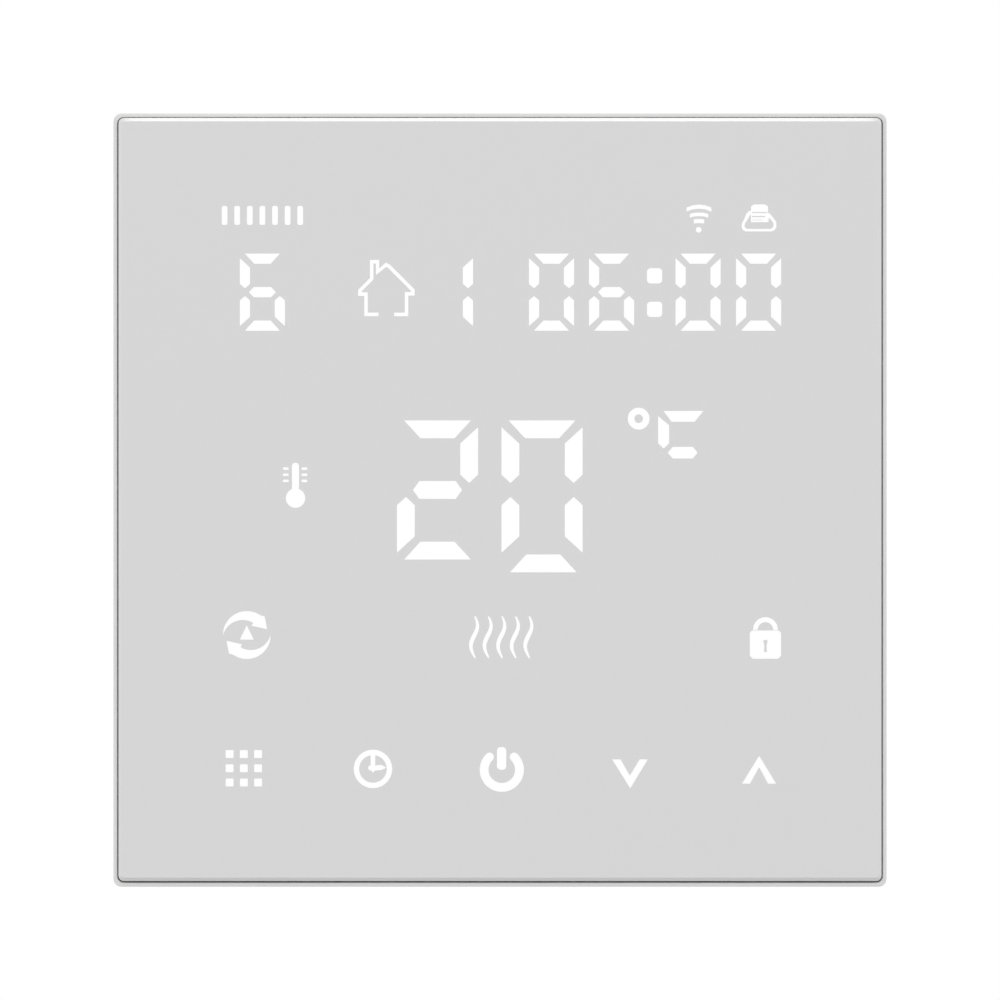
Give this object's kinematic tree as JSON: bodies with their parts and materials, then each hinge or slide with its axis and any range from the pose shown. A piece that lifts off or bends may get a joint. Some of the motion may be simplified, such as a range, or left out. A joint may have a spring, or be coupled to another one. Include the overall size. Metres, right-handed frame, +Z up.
{
  "type": "wall thermostat",
  "caption": "Square flush-wall room thermostat: grey glass touch face in a slim white frame on a steel plate, with an octagonal power box and screw terminals that sit in the wall box.",
  "frame": {"origin": "centre of the wall box opening, on the finished wall's face", "axes": "+X to the right as seen from the room, +Y into the wall, +Z up; the touch face looks along -Y"},
  "size_m": [0.086, 0.041, 0.086],
  "materials": {
    "painted_glass": "gloss, grey print behind clear glass",
    "black_tape": "matte foam tape",
    "white_plastic": "satin moulded",
    "diffuser_film": "milky matte film",
    "reflector_plastic": "satin moulded",
    "board_laminate": "solder mask",
    "blue_laminate": "solder mask",
    "plated_steel": "bright plating",
    "spring_steel": "drawn wire",
    "zinc_steel": "zinc plated sheet",
    "chip_epoxy": "matte",
    "black_plastic": "satin moulded",
    "grey_plastic": "satin moulded",
    "relay_blue": "satin moulded",
    "soft_iron": "nickel flash",
    "copper_wire": "enamelled wire",
    "ferrite": "matte ground",
    "winding_tape": "polyester tape",
    "capacitor_sleeve": "shrink sleeve",
    "varistor_blue": "dipped resin",
    "ceramic": "glazed",
    "terminal_green": "satin moulded",
    "nickel_brass": "nickel plated"
  },
  "bodies": {
    "root": {"mounting_plate": "zinc_steel", "rear_box": "grey_plastic", "box_lid": "grey_plastic", "power_board": "board_laminate", "pin_header": "black_plastic", "lid_screw_left": "plated_steel", "wall_screw_left": "plated_steel", "lid_screw_right": "plated_steel", "wall_screw_right": "plated_steel", "relay_case": "relay_blue", "relay_base": "black_plastic", "relay_yoke": "soft_iron", "relay_coil": "copper_wire", "transformer_core": "ferrite", "transformer_winding": "winding_tape", "capacitor_large": "capacitor_sleeve", "capacitor_small": "capacitor_sleeve", "varistor": "varistor_blue", "fuse": "ceramic", "terminal_block": "terminal_green"},
    "front_unit": {"touch_panel": "painted_glass", "panel_tape": "black_tape", "front_frame": "white_plastic", "snap_claw_top": "white_plastic", "snap_claw_bottom": "white_plastic", "display_film": "diffuser_film", "display_shell": "reflector_plastic", "control_board": "board_laminate", "board_screw_1": "plated_steel", "board_screw_2": "plated_steel", "board_screw_3": "plated_steel", "board_screw_4": "plated_steel", "touch_spring_menu": "spring_steel", "touch_spring_clock": "spring_steel", "touch_spring_power": "spring_steel", "touch_spring_down": "spring_steel", "touch_spring_up": "spring_steel", "wifi_board": "blue_laminate", "wifi_shield": "plated_steel", "main_chip": "chip_epoxy", "touch_chip": "chip_epoxy", "buzzer": "black_plastic", "backup_cell": "plated_steel", "room_sensor": "chip_epoxy", "header_socket": "black_plastic"},
    "relay_armature": {"relay_armature": "soft_iron"},
    "terminal_screw_1": {"terminal_screw_1": "plated_steel"},
    "clamp_cage_1": {"clamp_cage_1": "nickel_brass"},
    "terminal_screw_2": {"terminal_screw_2": "plated_steel"},
    "clamp_cage_2": {"clamp_cage_2": "nickel_brass"},
    "terminal_screw_3": {"terminal_screw_3": "plated_steel"},
    "clamp_cage_3": {"clamp_cage_3": "nickel_brass"},
    "terminal_screw_4": {"terminal_screw_4": "plated_steel"},
    "clamp_cage_4": {"clamp_cage_4": "nickel_brass"},
    "terminal_screw_5": {"terminal_screw_5": "plated_steel"},
    "clamp_cage_5": {"clamp_cage_5": "nickel_brass"},
    "terminal_screw_6": {"terminal_screw_6": "plated_steel"},
    "clamp_cage_6": {"clamp_cage_6": "nickel_brass"}
  },
  "joints": [
    {"name": "front_slide", "type": "slide", "parent": "root", "child": "front_unit", "axis": [0, -1, 0], "range_m": [0, 0.025], "deforming": ["snap_claw_top", "snap_claw_bottom"]},
    {"name": "armature_pivot", "type": "hinge", "parent": "root", "child": "relay_armature", "pos_m": [-0.0209, 0.0159, -0.00225], "axis": [0, 0, -1], "range_deg": [0, 4], "stiffness_Nm_per_rad": 0.002, "springref_deg": -5.73},
    {"name": "terminal_turn_1", "type": "hinge", "parent": "root", "child": "terminal_screw_1", "pos_m": [-0.01588, 0.012, -0.0173], "axis": [0, -1, 0], "range_deg": [0, 1873]},
    {"name": "clamp_rise_1", "type": "slide", "parent": "root", "child": "clamp_cage_1", "axis": [0, 1, 0], "range_m": [0, 0.0026]},
    {"name": "terminal_turn_2", "type": "hinge", "parent": "root", "child": "terminal_screw_2", "pos_m": [-0.00953, 0.012, -0.0173], "axis": [0, -1, 0], "range_deg": [0, 1873]},
    {"name": "clamp_rise_2", "type": "slide", "parent": "root", "child": "clamp_cage_2", "axis": [0, 1, 0], "range_m": [0, 0.0026]},
    {"name": "terminal_turn_3", "type": "hinge", "parent": "root", "child": "terminal_screw_3", "pos_m": [-0.00317, 0.012, -0.0173], "axis": [0, -1, 0], "range_deg": [0, 1873]},
    {"name": "clamp_rise_3", "type": "slide", "parent": "root", "child": "clamp_cage_3", "axis": [0, 1, 0], "range_m": [0, 0.0026]},
    {"name": "terminal_turn_4", "type": "hinge", "parent": "root", "child": "terminal_screw_4", "pos_m": [0.00317, 0.012, -0.0173], "axis": [0, -1, 0], "range_deg": [0, 1873]},
    {"name": "clamp_rise_4", "type": "slide", "parent": "root", "child": "clamp_cage_4", "axis": [0, 1, 0], "range_m": [0, 0.0026]},
    {"name": "terminal_turn_5", "type": "hinge", "parent": "root", "child": "terminal_screw_5", "pos_m": [0.00953, 0.012, -0.0173], "axis": [0, -1, 0], "range_deg": [0, 1873]},
    {"name": "clamp_rise_5", "type": "slide", "parent": "root", "child": "clamp_cage_5", "axis": [0, 1, 0], "range_m": [0, 0.0026]},
    {"name": "terminal_turn_6", "type": "hinge", "parent": "root", "child": "terminal_screw_6", "pos_m": [0.01588, 0.012, -0.0173], "axis": [0, -1, 0], "range_deg": [0, 1873]},
    {"name": "clamp_rise_6", "type": "slide", "parent": "root", "child": "clamp_cage_6", "axis": [0, 1, 0], "range_m": [0, 0.0026]}
  ],
  "couplings": [
    {"joint": "terminal_turn_1", "follows": "clamp_rise_1", "rad_per_m": 12566},
    {"joint": "terminal_turn_2", "follows": "clamp_rise_2", "rad_per_m": 12566},
    {"joint": "terminal_turn_3", "follows": "clamp_rise_3", "rad_per_m": 12566},
    {"joint": "terminal_turn_4", "follows": "clamp_rise_4", "rad_per_m": 12566},
    {"joint": "terminal_turn_5", "follows": "clamp_rise_5", "rad_per_m": 12566},
    {"joint": "terminal_turn_6", "follows": "clamp_rise_6", "rad_per_m": 12566}
  ]
}
